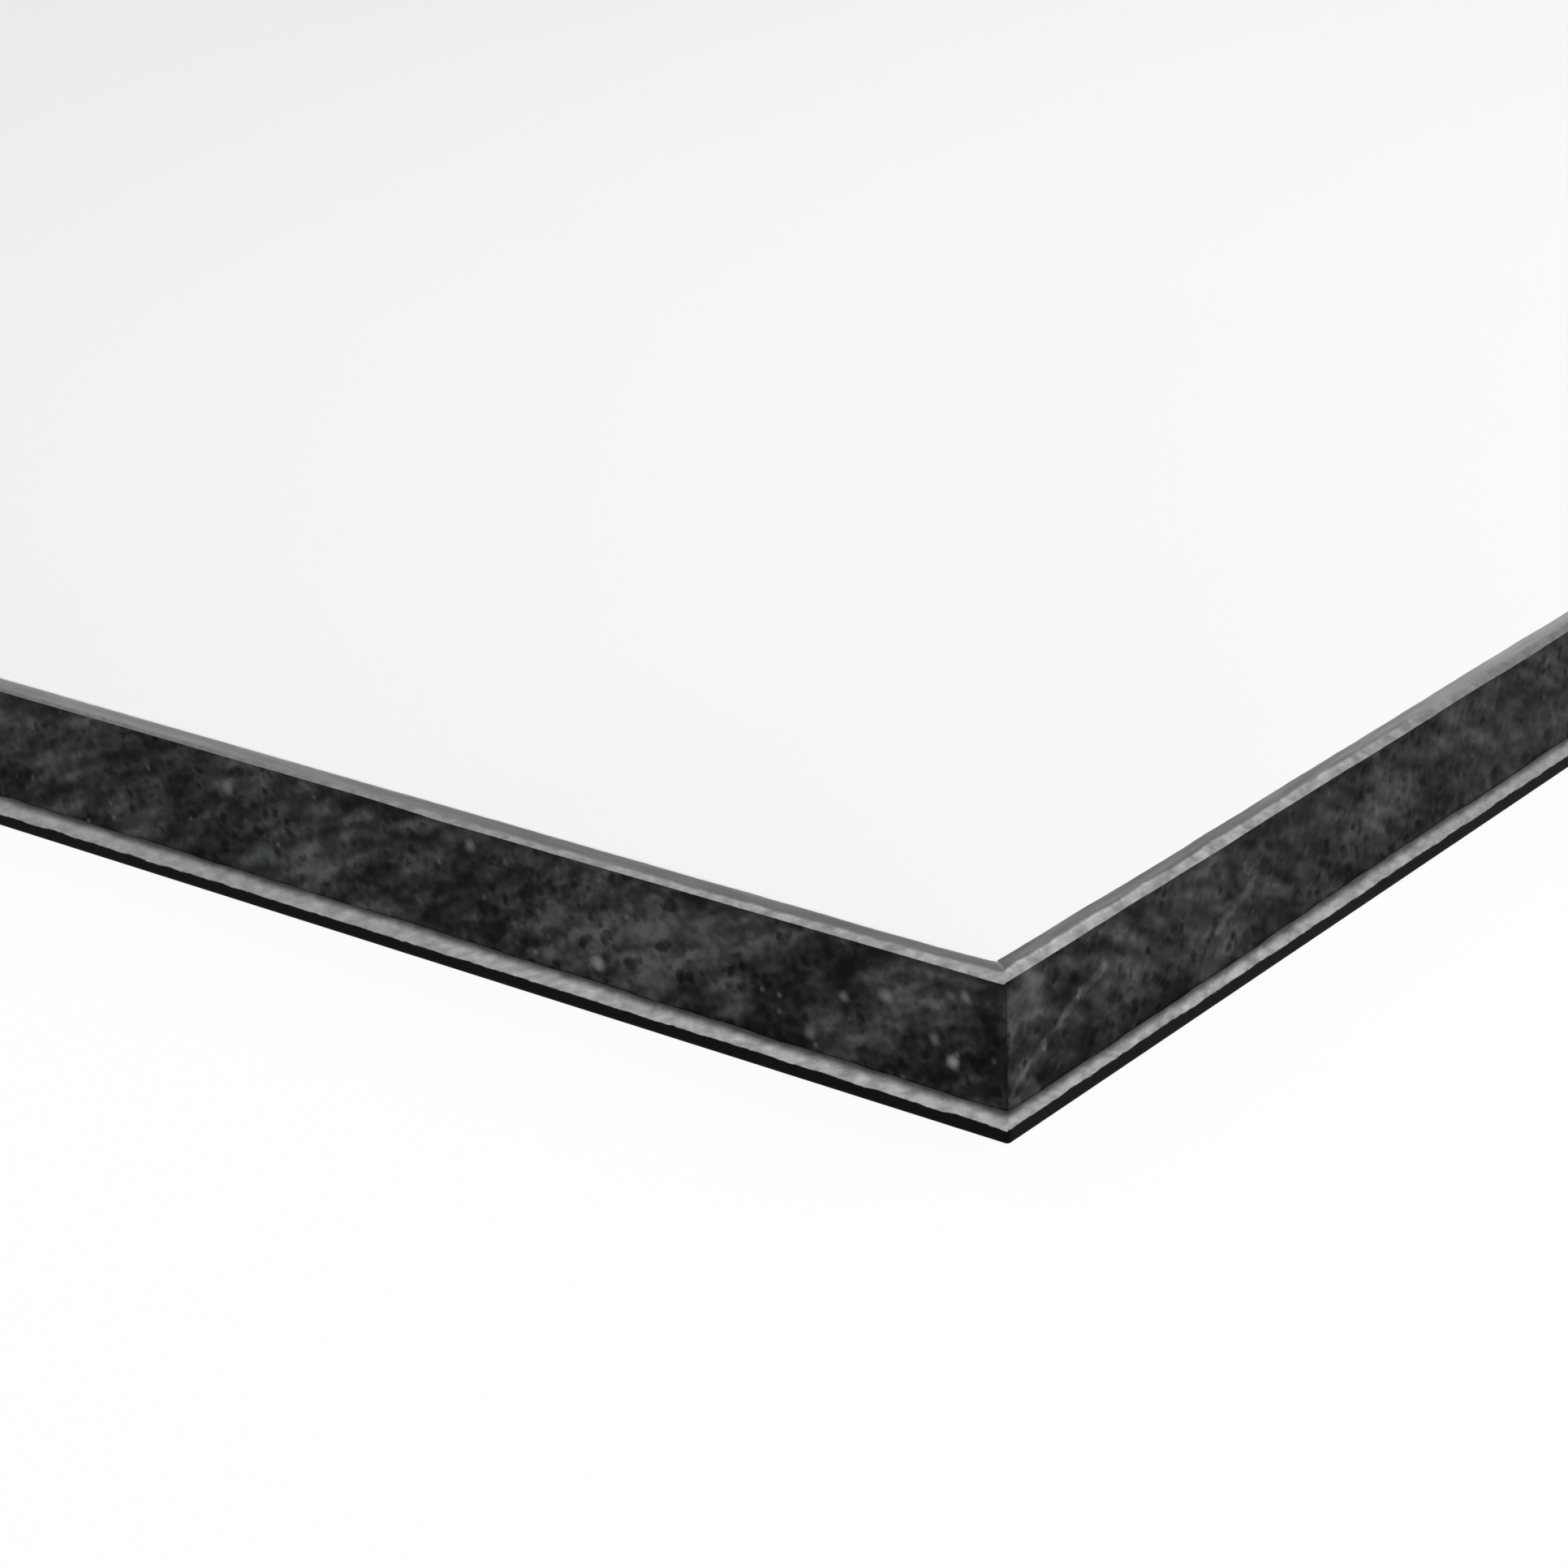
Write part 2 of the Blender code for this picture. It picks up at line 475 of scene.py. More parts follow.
def makeCore(stations):
    # profile from the back glue film up the sawn face, over the smear and back into the face
    # glue film
    way = stations["way"][:, None]
    bottom, top = coreLow[2] - coreEdge["film"], coreHigh[2] + coreEdge["film"]
    tip = smearTop(stations)[:, None]
    rise = np.linspace(0.0, 1.0, coreEdge["points"])
    height = bottom + (tip - bottom) * rise
    underLip = 1 - eased((height - lipTop(stations)[:, None]) / coreEdge["lipReach"])
    lifted = eased((height - top + coreEdge["smearLift"]) / coreEdge["smearLift"])
    depth = coreEdge["back"] + (coreEdge["lipBack"] - coreEdge["back"]) * underLip
    depth = depth + (coreEdge["smearBack"] - depth) * lifted
    relief, torn = coreRelief(way, height, stations["onEnd"])
    calm = 1 - coreEdge["calm"] * np.maximum(lifted, underLip)
    relief = np.minimum(relief * calm - depth, -coreEdge["shallowest"])
    height = np.concatenate([height, tip, np.full(tip.shape, top)], axis=1)
    behind = relief[:, -1:] - coreEdge["smearThickness"]
    relief = np.concatenate([relief, behind, behind], axis=1)
    torn = np.concatenate([torn * calm, np.zeros((len(way), 2))], axis=1)
    flat = np.zeros((1, height.shape[1]))
    points = carried(stations, flat, flat, height, relief)
    return layerPiece("sawn_core", "core", stations, points, {"torn": torn})


# Shader maths as Python sums

class Flow:
    # a node's output, on which + - * / and comparisons by name build Math nodes
    def __init__(self, finish, socket):
        self.finish = finish
        self.socket = socket

    def maths(self, operation, *others):
        return self.finish.node("ShaderNodeMath", {"operation": operation},
                                dict(enumerate((self, *others))))

    def __add__(self, other):
        return self.maths("ADD", other)

    __radd__ = __add__

    def __mul__(self, other):
        return self.maths("MULTIPLY", other)

    __rmul__ = __mul__

    def __sub__(self, other):
        return self.maths("SUBTRACT", other)

    def __rsub__(self, other):
        return self.finish.node("ShaderNodeMath", {"operation": "SUBTRACT"}, {0: other, 1: self})

    def __truediv__(self, other):
        return self.maths("DIVIDE", other)

    def between(self, low, high):
        # 0 below low, 1 above high, eased in between
        return self.finish.node("ShaderNodeMapRange", {"interpolation_type": "SMOOTHSTEP"},
                                {"Value": self, "From Min": low, "From Max": high})

    def least(self, other):
        return self.maths("MINIMUM", other)

    def most(self, other):
        return self.maths("MAXIMUM", other)

    def swayed(self, noise, width):
        # moved to either side by a noise whose middle is 0.5
        return self + (noise - 0.5) * width


strokeHeart = 0.05           # share of a stroke's squared width that has its full strength


class Finish:
    # the node tree of a material or of the world, emptied and ready to fill
    def __init__(self, owner):
        owner.use_nodes = True
        self.owner = owner
        self.tree = owner.node_tree
        self.tree.nodes.clear()

    def node(self, kind, settings=None, sockets=None, output=0):
        made = self.tree.nodes.new(kind)
        for key, value in (settings or {}).items():
            if key == "stops":
                self.setStops(made.color_ramp, value)
            else:
                setattr(made, key, value)
        for key, value in (sockets or {}).items():
            if isinstance(value, Flow):
                self.tree.links.new(value.socket, made.inputs[key])
            else:
                made.inputs[key].default_value = value
        return Flow(self, made.outputs[output]) if made.outputs else None

    def setStops(self, ramp, stops):
        while len(ramp.elements) < len(stops):
            ramp.elements.new(0.5)
        for element, (place, colour) in zip(ramp.elements, stops):
            element.position = place
            element.color = (*colour, 1.0)

    def place(self):
        # Object coordinates in mm
        where = self.node("ShaderNodeTexCoord", output="Object")
        return self.node("ShaderNodeVectorMath", {"operation": "SCALE"}, {0: where, "Scale": metre})

    def parts(self, vector):
        return [self.node("ShaderNodeSeparateXYZ", sockets={0: vector}, output=axis)
                for axis in range(3)]

    def vector(self, x, y, z):
        return self.node("ShaderNodeCombineXYZ", sockets={0: x, 1: y, 2: z})

    def noise(self, vector, scale, detail=2.0, rough=0.5, output=0):
        sockets = {"Vector": vector, "Scale": scale, "Detail": detail, "Roughness": rough}
        return self.node("ShaderNodeTexNoise", {"noise_dimensions": "3D"}, sockets, output)

    def drawnOut(self, across, along, acrossScale, alongScale, shift, detail, rough=0.5):
        # noise with its own scale in each direction. The shift sets it apart from another.
        place = self.vector(across * acrossScale, along * alongScale, shift)
        return self.noise(place, 1.0, detail, rough)

    def cells(self, vector, scale):
        # distance to the nearest of many scattered points, and a random number for that point
        sockets = {"Vector": vector, "Scale": scale}
        colour = self.node("ShaderNodeTexVoronoi", sockets=sockets, output="Color")
        return self.node("ShaderNodeTexVoronoi", sockets=sockets), self.parts(colour)[0]

    def blend(self, share, first, second, how="MIX"):
        # a colour between two, by share: 6, 7 and 2 are the node's sockets for colours
        return self.node("ShaderNodeMix", {"data_type": "RGBA", "blend_type": how},
                         {"Factor": share, 6: first, 7: second}, output=2)

    def spot(self, across, up, middle, radius):
        # a bell: (1 - r^2)^3 of the distance from the middle as a share r of the radius
        a = (across - middle[0]) / radius
        b = (up - middle[1]) / radius
        left = (1 - (a * a + b * b)).most(0.0)
        return left * left * left

    def stroke(self, across, up, start, end, width):
        # a soft line: 1 on the straight piece from start to end, 0 beyond its width
        run, rise = end[0] - start[0], end[1] - start[1]
        square = run * run + rise * rise
        right, above = across - start[0], up - start[1]
        share = (right * (run / square) + above * (rise / square)).most(0.0).least(1.0)
        a, b = right - share * run, above - share * rise
        return 1 - ((a * a + b * b) / (width * width)).between(strokeHeart, 1.0)

    def attribute(self, name):
        return self.node("ShaderNodeAttribute", {"attribute_name": name}, output="Fac")

    def bump(self, height, depth):
        return self.node("ShaderNodeBump", sockets={"Height": height, "Distance": depth / metre})

    def onEnds(self, place):
        # 1 on the two ends, 0 on the long edges
        x, y = self.parts(place)[:2]
        turn, beyond = sawCut["turn"], float(halfPlan[0] - halfPlan[1])
        return (x.maths("ABSOLUTE") - y.maths("ABSOLUTE")).between(beyond - turn, beyond + turn)

    def marks(self, place, onEnd):
        # across and along the saw's marks, as alongTheMarks gives them
        x, y, z = self.parts(place)
        edge, end = math.radians(sawCut["edgeLean"]), math.radians(sawCut["endLean"])
        sine = onEnd * (math.sin(end) - math.sin(edge)) + math.sin(edge)
        cosine = onEnd * (math.cos(end) - math.cos(edge)) + math.cos(edge)
        way = x + y
        height = z - sawCut["midHeight"]
        across = way * sine - z * cosine + height * height * (0.5 / sawCut["bladeRadius"])
        return across, way * cosine + z * sine

    def fromCorner(self, place):
        # distance round the edges from the photographed corner, and the same distance counted
        # below zero on the front edge
        x, y = self.parts(place)[:2]
        onFront, onSide = float(photoCorner[0]) - x, y - float(photoCorner[1])
        return onFront + onSide, onSide - onFront

    def surface(self, sockets):
        # a Principled shader straight to the output
        shader = self.node("ShaderNodeBsdfPrincipled", sockets=sockets)
        self.node("ShaderNodeOutputMaterial", sockets={"Surface": shader})
        return self.owner


def rgb(red, green, blue):
    return (red, green, blue, 1.0)


# In the looks below, a noise is given by its scale, detail and roughness, and one that is drawn
# out by its scale across and along, shift, detail and roughness

metalLook = {
    "bright": rgb(0.52, 0.52, 0.525),
    "dull": rgb(0.23, 0.23, 0.235),
    "soot": rgb(0.030, 0.030, 0.032),    # plastic dust rubbed into the metal next to the core
    "lines": (6.0, 1.2, 0.0, 3.0, 0.6),
    "lineShare": 0.55,       # of the tone, with the blotches as the rest
    "blotches": (2.2, 3.0, 0.6),
    "toneRange": (0.28, 0.72),
    "bareReach": (7.0, 26.0),            # distances from the photographed corner over which the
    "bareLoss": 0.50,                    # freshly cut metal turns duller, by this share
    "roughness": 0.50,
    "polish": 0.14,          # how much smoother the bright metal is
    "lineHeight": 0.6,       # of the bump
    "bumpDepth": 0.01,
}


def sawnMetal(finish, place, onEnd):
    # bare cut metal: its colour runs between dull and bright by noise drawn out along the marks
    # and by blotches, and the bright metal is smoother. Gives colour, roughness and lines.
    across, along = finish.marks(place, onEnd)
    lines = finish.drawnOut(across, along, *metalLook["lines"])
    blotches = finish.noise(place, *metalLook["blotches"])
    share = metalLook["lineShare"]
    tone = (lines * share + blotches * (1 - share)).between(*metalLook["toneRange"])
    far = finish.fromCorner(place)[0].between(*metalLook["bareReach"])
    shine = tone * (1 - far * metalLook["bareLoss"])
    colour = finish.blend(shine, metalLook["dull"], metalLook["bright"])
    return colour, metalLook["roughness"] - tone * metalLook["polish"], lines


whiteLook = {
    "coat": rgb(0.82, 0.82, 0.82),
    "coatCool": rgb(0.805, 0.815, 0.825),
    "cast": (0.018, 2.0),    # slow change between the two
    "castRange": (0.35, 0.65),
    "roughness": 0.42,
    "specular": 0.36,
    "peel": (1.3, 2.0),      # the coating's faint orange peel
    "peelRoughness": 0.06,
    "peelHeight": 0.05,
    "wander": (1.6, 3.0, 0.5),
    "coatWander": 0.03,      # how far the coating's end wanders
    "coatBlur": 0.008,
    # grey primer below the coating, partly painted shade at the foot of the arris
    "primer": rgb(0.16, 0.16, 0.165),
    "filedPrimerShade": rgb(0.055, 0.055, 0.06),
    "primerPale": rgb(0.36, 0.36, 0.365),
    "primerWidth": 0.24,     # how far below the coating the grey primer, with its painted shade, and dull metal reach
    "primerCorner": 0.17,    # and on the long edge beside the photographed corner
    "primerFiledWidth": 0.25,
    "primerReach": (0.5, 8.0),
    "primerWander": 0.12,
    "primerBlur": 0.04,
    "strokes": (0.5, 8.0, 0.0, 2.0),     # marks of rubbing and filing along the edge
    "strokeRange": (0.30, 0.80),
    "strokePale": 0.4,       # how much paler a stroke is
    "strokeFiled": 0.15,     # and how much less so where the edge is filed
    "farPale": 0.5,          # how much paler the primer is far from the photographed corner
    "soot": 0.06,            # share of soot on the metal
    "farSoot": 0.40,         # and how much more of it far from the photographed corner
}


def whiteFacedFinish():
    # satin white coating on the face, ending in a slightly wandering line at the arris; then a
    # band of grey primer that is partly painted shade, darker on the filed end as painted shade and
    # paler away from the photographed corner, with strokes along the edge; then bare cut metal
    look = whiteLook
    finish = Finish(bpy.data.materials.new("white coil coating and cut metal"))
    place = finish.place()
    x, y = finish.parts(place)[:2]
    metal, metalRough, lines = sawnMetal(finish, place, finish.onEnds(place))
    belowCoat = finish.attribute("belowCoat")
    filed = finish.attribute("filed")
    away = finish.fromCorner(place)[0]
    far = away.between(*metalLook["bareReach"])
    wander = finish.noise(place, *look["wander"])
    coat = 1 - belowCoat.swayed(wander, look["coatWander"]).between(-look["coatBlur"], look["coatBlur"])

    width, cornerWidth = look["primerWidth"], look["primerCorner"]
    width = away.between(*look["primerReach"]) * (width - cornerWidth) + cornerWidth
    width = width + (look["primerFiledWidth"] - width) * filed
    below = belowCoat.swayed(wander, look["primerWander"]) - width
    bare = below.between(-look["primerBlur"], look["primerBlur"])
    strokes = finish.drawnOut(x + y, belowCoat, *look["strokes"]).between(*look["strokeRange"])
    pale = strokes * (look["strokePale"] - filed * look["strokeFiled"]) + far * look["farPale"]
    # painted shade: the primer band darker on the filed end
    primer = finish.blend(filed, look["primer"], look["filedPrimerShade"])
    primer = finish.blend(pale, primer, look["primerPale"])
    metal = finish.blend(far * look["farSoot"] + look["soot"], metal, metalLook["soot"])

    cast = finish.noise(place, *look["cast"]).between(*look["castRange"])
    white = finish.blend(cast, look["coat"], look["coatCool"])
    peel = finish.noise(place, *look["peel"])
    rough = (peel - 0.5) * look["peelRoughness"] + look["roughness"]
    height = lines * (1 - coat) * metalLook["lineHeight"] + peel * coat * look["peelHeight"]
    return finish.surface({
        "Base Color": finish.blend(coat, finish.blend(bare, primer, metal), white),
        "Metallic": bare,
        "Roughness": rough * coat + metalRough * (1 - coat),
        "Specular IOR Level": look["specular"],
        "Normal": finish.bump(height, metalLook["bumpDepth"]),
    })


coreLook = {
    "ramp": [(0.30, (0.0018, 0.0019, 0.0021)), (0.42, (0.0075, 0.0077, 0.0082)),
             (0.53, (0.0205, 0.021, 0.022)), (0.64, (0.041, 0.0415, 0.043)),
             (0.84, (0.105, 0.106, 0.108))],
    "cool": rgb(0.92, 1.00, 1.04),
    "warm": rgb(1.04, 1.01, 0.89),
    "tint": (0.16, 1.0),
    "tintRange": (0.50, 0.68),
    "roughness": 0.62,       # at a middle tone
    "roughnessLoss": 0.5,    # less on pale places
    "specular": 0.08,

    # the tone is this middle, its change on the ends and these shares of each pattern; the pits, torn
    # and beside-skin shares are painted shade
    "middle": 0.56,
    "onEnds": -0.03,
    "shares": {"mottle": 0.34, "lumps": 0.70, "streaks": 0.52, "bands": 0.30,
               "rims": 0.04, "pits": -0.20, "torn": -0.05, "besideSkins": -0.05},
    "mottle": (4.2, 1.0, 0.45),
    "mottleEndLoss": 0.50,   # less mottling on the ends
    "mottleFarLoss": 0.25,   # and on the long edges over these distances from the corner
    "mottleFar": (10.0, 20.0),
    "lumps": (2.6, 0.90, 0.0, 1.5),
    "streaks": (1.4, 0.42, 9.0, 1.5),
    "bands": (0.70, 0.20, 5.0, 1.0),
    "endCalm": 0.2,          # weaker patterns on the ends over these distances
    "endCalmReach": (5.0, 12.0),
    "clearOfBackShade": (0.70, 1.00),         # heights between which the painted shade beside a skin ends
    "clearOfFaceShade": (3.25, 3.62),

    # ragged is a noise that bends round and straight shapes
    "ragged": (4.5, 2.0, 0.6),
    # pits, whose darkness in the tone is painted shade
    "pitScale": 2.9,
    "pitBend": 0.30,
    "pitReach": (0.04, 0.52),
    "rimRise": (0.30, 0.50),             # the pale rims round the pits
    "rimFall": (0.55, 0.80),
    "crowdDraw": (0.15, 0.85),           # each pit's own strength
    "crowd": (0.55, 1.0),                # where pits crowd, with this share elsewhere
    "crowdRange": (0.42, 0.58),
    "crowdLeast": 0.4,

    # bump: shares of the patterns, and the depth
    "bump": {"mottle": 0.5, "lumps": 0.8, "fine": 0.06, "pits": -0.25},
    "fine": (12.0, 3.0, 0.6),
    "bumpDepth": 0.04,

    # tiny pale specks, scattered: painted glints
    "speck": rgb(0.26, 0.26, 0.265),
    "speckScale": 2.2,
    "speckReach": (0.0, 0.30),
    "speckDraw": (0.45, 1.0),
    "speckShare": 0.38,

    # places below are distances from the photographed corner, along the front edge when negative
    # and along the right-hand end when positive, and heights above the back face. They end at
    # these distances.
    "placedReach": (26.0, 28.0),
    # painted light on the end and painted shade on the front edge beside the corner, over these
    # distances
    "cornerTurn": (-0.04, 0.04),
    "cornerPaintedLight": ((0.5, 1.7), 0.08),
    "cornerPaintedShade": ((-1.1, -0.2), 0.08),
    # from, to, half width and change of tone of the scratches, pale flakes and torn pits; the torn
    # pits' darkening is painted shade
    "scratchBend": 0.26,
    "scratches": [((0.20, 1.15), (1.30, 1.75), 0.15, 0.14), ((1.30, 1.75), (2.60, 2.35), 0.15, 0.16),
                  ((2.60, 2.35), (3.50, 2.60), 0.16, 0.17), ((3.9, 3.05), (4.6, 2.7), 0.15, 0.11),
                  ((7.9, 1.80), (9.3, 2.35), 0.16, 0.13), ((8.9, 2.9), (9.5, 2.4), 0.15, 0.10),
                  ((9.8, 2.0), (10.8, 1.6), 0.20, 0.12), ((-18.1, 2.9), (-17.2, 3.25), 0.13, 0.12),
                  ((-15.9, 1.5), (-15.6, 1.7), 0.17, 0.13), ((-8.6, 1.75), (-8.2, 2.1), 0.13, 0.14),
                  ((-10.55, 1.9), (-10.4, 2.0), 0.17, -0.24), ((-11.2, 1.6), (-11.0, 1.8), 0.15, -0.20),
                  ((-9.0, 2.1), (-8.8, 2.2), 0.17, -0.20), ((-8.5, 1.5), (-8.2, 1.65), 0.14, -0.20),
                  ((-9.9, 1.5), (-9.6, 1.65), 0.15, -0.20), ((-8.8, 3.1), (-8.6, 3.2), 0.16, -0.18)],
    # from, to, half width and change of tone of the broad patches, which a coarser noise bends
    # along and up
    "patchRagged": (1.7, 3.0, 0.6),
    "patchBend": (1.6, 1.2),
    "patches": [((-24.5, 3.1), (-23.6, 2.3), 0.9, -0.07), ((-23.0, 0.9), (-21.6, 2.2), 0.5, -0.11),
                ((-21.6, 2.2), (-18.2, 3.4), 0.35, -0.09), ((-18.9, 0.9), (-16.7, 2.1), 0.3, -0.08),
                ((-20.4, 1.3), (-17.6, 2.3), 0.6, 0.04), ((-14.4, 1.1), (-11.5, 2.9), 0.35, -0.17),
                ((-12.3, 0.8), (-11.0, 1.8), 0.7, 0.09), ((-10.5, 1.7), (-7.2, 2.6), 1.3, 0.06),
                ((-5.9, 1.4), (-4.3, 2.6), 0.9, -0.08), ((-4.0, 1.5), (-2.2, 2.0), 0.5, 0.05),
                ((-3.7, 0.9), (-1.7, 1.1), 0.3, -0.13), ((-1.3, 1.0), (-0.4, 1.6), 0.5, -0.09),
                ((-0.45, 1.6), (-0.25, 3.1), 0.35, -0.11), ((0.2, 2.5), (1.0, 3.2), 0.7, 0.09),
                ((0.1, 1.7), (0.5, 2.3), 0.4, -0.09), ((1.4, 1.0), (4.4, 1.1), 0.5, -0.14),
                ((4.6, 2.3), (8.2, 1.7), 0.8, 0.05), ((5.1, 0.9), (6.6, 0.9), 0.35, -0.13),
                ((10.0, 2.8), (11.0, 2.3), 0.4, -0.09), ((8.8, 1.1), (11.0, 1.1), 0.4, -0.13),
                ((13.8, 1.2), (17.6, 1.4), 0.6, -0.11), ((13.5, 2.2), (16.0, 2.1), 0.6, 0.05)],
    # middle, radius and strength of the larger specks, also painted glints
    "spotBend": 0.12,
    "glintSpots": [((-1.35, 1.50), 0.26, 1.0), ((-1.00, 3.05), 0.21, 0.5), ((-3.0, 2.55), 0.30, 0.55),
              ((-4.1, 2.25), 0.22, 0.5), ((-1.8, 1.90), 0.22, 0.45), ((-10.75, 1.25), 0.27, 0.9),
              ((-5.0, 1.15), 0.24, 0.45), ((-14.3, 3.20), 0.26, 0.5), ((-21.8, 2.85), 0.30, 0.45)],
}


def coreTone(finish, place, ragged):
    # sum of mottling, of lumps, streaks and bands drawn out along the marks, and of pits with
    # pale rims; painted shade darkens the pits, the torn places and the core beside the skins. Gives
    # the tone and the bump.
    look = coreLook
    share = look["shares"]
    z = finish.parts(place)[2]
    onEnd = finish.onEnds(place)
    across, along = finish.marks(place, onEnd)
    away = finish.fromCorner(place)[0]
    mottle = finish.noise(place, *look["mottle"]) - 0.5
    farLoss = (1 - onEnd) * away.between(*look["mottleFar"]) * look["mottleFarLoss"]
    mottle = mottle * (1 - onEnd * look["mottleEndLoss"] - farLoss)
    lumps, streaks, bands = (finish.drawnOut(across, along, *look[name]) - 0.5
                             for name in ("lumps", "streaks", "bands"))

    bent = [part.swayed(noise, look["pitBend"]) for part, noise in zip(finish.parts(place), ragged)]
    reach, draw = finish.cells(finish.vector(*bent), look["pitScale"])
    least = look["crowdLeast"]
    crowd = finish.noise(place, *look["crowd"]).between(*look["crowdRange"]) * (1 - least) + least
    crowd = crowd * draw.between(*look["crowdDraw"])
    pits = (1 - reach.between(*look["pitReach"])) * crowd
    rims = reach.between(*look["rimRise"]) * (1 - reach.between(*look["rimFall"])) * crowd
    # painted shade along both skins: the core darker just above the back skin and just below the face
    # skin
    clear = z.between(*look["clearOfBackShade"]) * (1 - z.between(*look["clearOfFaceShade"]))

    tone = mottle * share["mottle"] + lumps * share["lumps"]
    tone = tone + streaks * share["streaks"] + bands * share["bands"]
    tone = tone * (1 - onEnd * away.between(*look["endCalmReach"]) * look["endCalm"])
    tone = tone + look["middle"] + onEnd * look["onEnds"] + (1 - clear) * share["besideSkins"]
    # painted shade: the pits darker
    tone = tone + pits * share["pits"] + rims * share["rims"]
    # painted shade in the torn hollows of the geometry
    tone = tone + finish.attribute("torn") * share["torn"]
    share = look["bump"]
    height = mottle * share["mottle"] + lumps * share["lumps"]
    height = height + finish.noise(place, *look["fine"]) * share["fine"] + pits * share["pits"]
    return tone, height


def placedMarks(finish, place, ragged, tone):
    # the scratches and patches added to the tone, and painted light and shade at the corner. Gives the
    # tone and the larger specks, which are painted glints.
    look = coreLook
    z = finish.parts(place)[2]
    away, fromCorner = finish.fromCorner(place)
    near = 1 - away.between(*look["placedReach"])
    bent, up = (part.swayed(noise, look["scratchBend"])
                for part, noise in zip((fromCorner, z), ragged))
    for start, end, width, change in look["scratches"]:
        tone = tone + finish.stroke(bent, up, start, end, width) * near * change
    coarse = finish.parts(finish.noise(place, *look["patchRagged"], output="Color"))
    bent, up = (part.swayed(noise, width)
                for part, noise, width in zip((fromCorner, z), coarse, look["patchBend"]))
    for start, end, width, change in look["patches"]:
        tone = tone + finish.stroke(bent, up, start, end, width) * near * change

    turned = fromCorner.between(*look["cornerTurn"])
    reach, change = look["cornerPaintedLight"]
    tone = tone + turned * (1 - fromCorner.between(*reach)) * change
    reach, change = look["cornerPaintedShade"]
    tone = tone - (1 - turned) * fromCorner.between(*reach) * change

    bent, up = (part.swayed(noise, look["spotBend"]) for part, noise in zip((fromCorner, z), ragged))
    glintSpots = [finish.spot(bent, up, middle, radius) * near * strength
             for middle, radius, strength in look["glintSpots"]]
    return tone, glintSpots


def coreFinish():
    # black polyethylene: a ramp of dark greys over the tone, with pale specks painted as glints, tinted
    # a little by large soft noise, and rougher where it is dark
    look = coreLook
    finish = Finish(bpy.data.materials.new("sawn black polyethylene"))
    place = finish.place()
    ragged = finish.parts(finish.noise(place, *look["ragged"], output="Color"))
    tone, height = coreTone(finish, place, ragged)
    tone, glintSpots = placedMarks(finish, place, ragged, tone)
    colour = finish.node("ShaderNodeValToRGB", {"stops": look["ramp"]}, {0: tone})
    reach, draw = finish.cells(place, look["speckScale"])
    paintedGlints = 1 - reach.between(*look["speckReach"])
    paintedGlints = paintedGlints * paintedGlints * draw.between(*look["speckDraw"]) * look["speckShare"]
    for spot in glintSpots:
        paintedGlints = paintedGlints.most(spot)
    colour = finish.blend(paintedGlints, colour, look["speck"])
    hues = finish.parts(finish.noise(place, *look["tint"], output="Color"))
    for hue, tint in zip(hues, ("cool", "warm")):
        colour = finish.blend(hue.between(*look["tintRange"]), colour, look[tint], "MULTIPLY")
    return finish.surface({
        "Base Color": colour,
        "Roughness": look["roughness"] - (tone - 0.5) * look["roughnessLoss"],
        "Specular IOR Level": look["specular"],
        "Normal": finish.bump(height, look["bumpDepth"]),
    })


backLook = {
    # black of the lacquer on the back face, and of the painted shadow on the arris and the foot of the
    # cut
    "lacquer": rgb(0.0022, 0.0023, 0.0025),
    "roughness": 0.55,
    "specular": 0.05,
    "peel": (2.0, 2.0),
    "peelRoughness": 0.1,
    "peelHeight": 0.1,
    "wander": (1.5, 3.0, 0.6),
    "wanderHeight": 0.14,
    "lacquerBlur": 0.015,
    "sootFrom": 0.50,        # height from which the metal is sooty
    "sootReach": 0.26,
    "sootShare": 0.95,
}


def backFinish():
    # bare cut metal, sooty next to the core, above black on the arris and the back face: lacquer on the
    # back face, painted shadow on the arris and the foot of the cut
    look = backLook
    finish = Finish(bpy.data.materials.new("black back lacquer, painted edge shadow and cut metal"))
    place = finish.place()
    onEnd = finish.onEnds(place)
    metal, metalRough, lines = sawnMetal(finish, place, onEnd)
    z = finish.parts(place)[2].swayed(finish.noise(place, *look["wander"]), look["wanderHeight"])
    far = finish.fromCorner(place)[0].between(*backSkin["lipReach"])
    low = look["sootFrom"]
    soot = (z - far * backSkin["lipFar"]).between(low, low + look["sootReach"])
    metal = finish.blend(soot * look["sootShare"], metal, metalLook["soot"])
    # top of the black band, which is painted shadow on the cut
    top = backSkin["shadowBandTop"] + onEnd * (backSkin["endShadowBandTop"] - backSkin["shadowBandTop"])
    coat = 1 - (z - top).between(-look["lacquerBlur"], look["lacquerBlur"])
    peel = finish.noise(place, *look["peel"])
    rough = peel * look["peelRoughness"] + look["roughness"]
    height = lines * (1 - coat) * metalLook["lineHeight"] + peel * coat * look["peelHeight"]
    return finish.surface({
        "Base Color": finish.blend(coat, metal, look["lacquer"]),
        "Metallic": 1 - coat,
        "Roughness": rough * coat + metalRough * (1 - coat),
        "Specular IOR Level": look["specular"],
        "Normal": finish.bump(height, metalLook["bumpDepth"]),
    })


# Setting: floor, light and camera

setting = {
    "floorSize": 6000.0,
    "floorDrop": 0.02,
    "floorColour": rgb(0.9, 0.9, 0.9),
    "floorGlow": 0.95,       # share of plain white that the camera sees in the floor
    "sky": 0.50,
    # each lamp's place and the point that it faces, from the photographed corner, then its width
    # and power
    "lamps": {
        "key": ((46.6, 55.7, 145.8), (0.0, 0.0, 0.0), 180.0, 0.196),
        "fill": ((-250.0, 130.0, 400.0), (-220.0, 120.0, 0.0), 240.0, 0.375),
    },
}

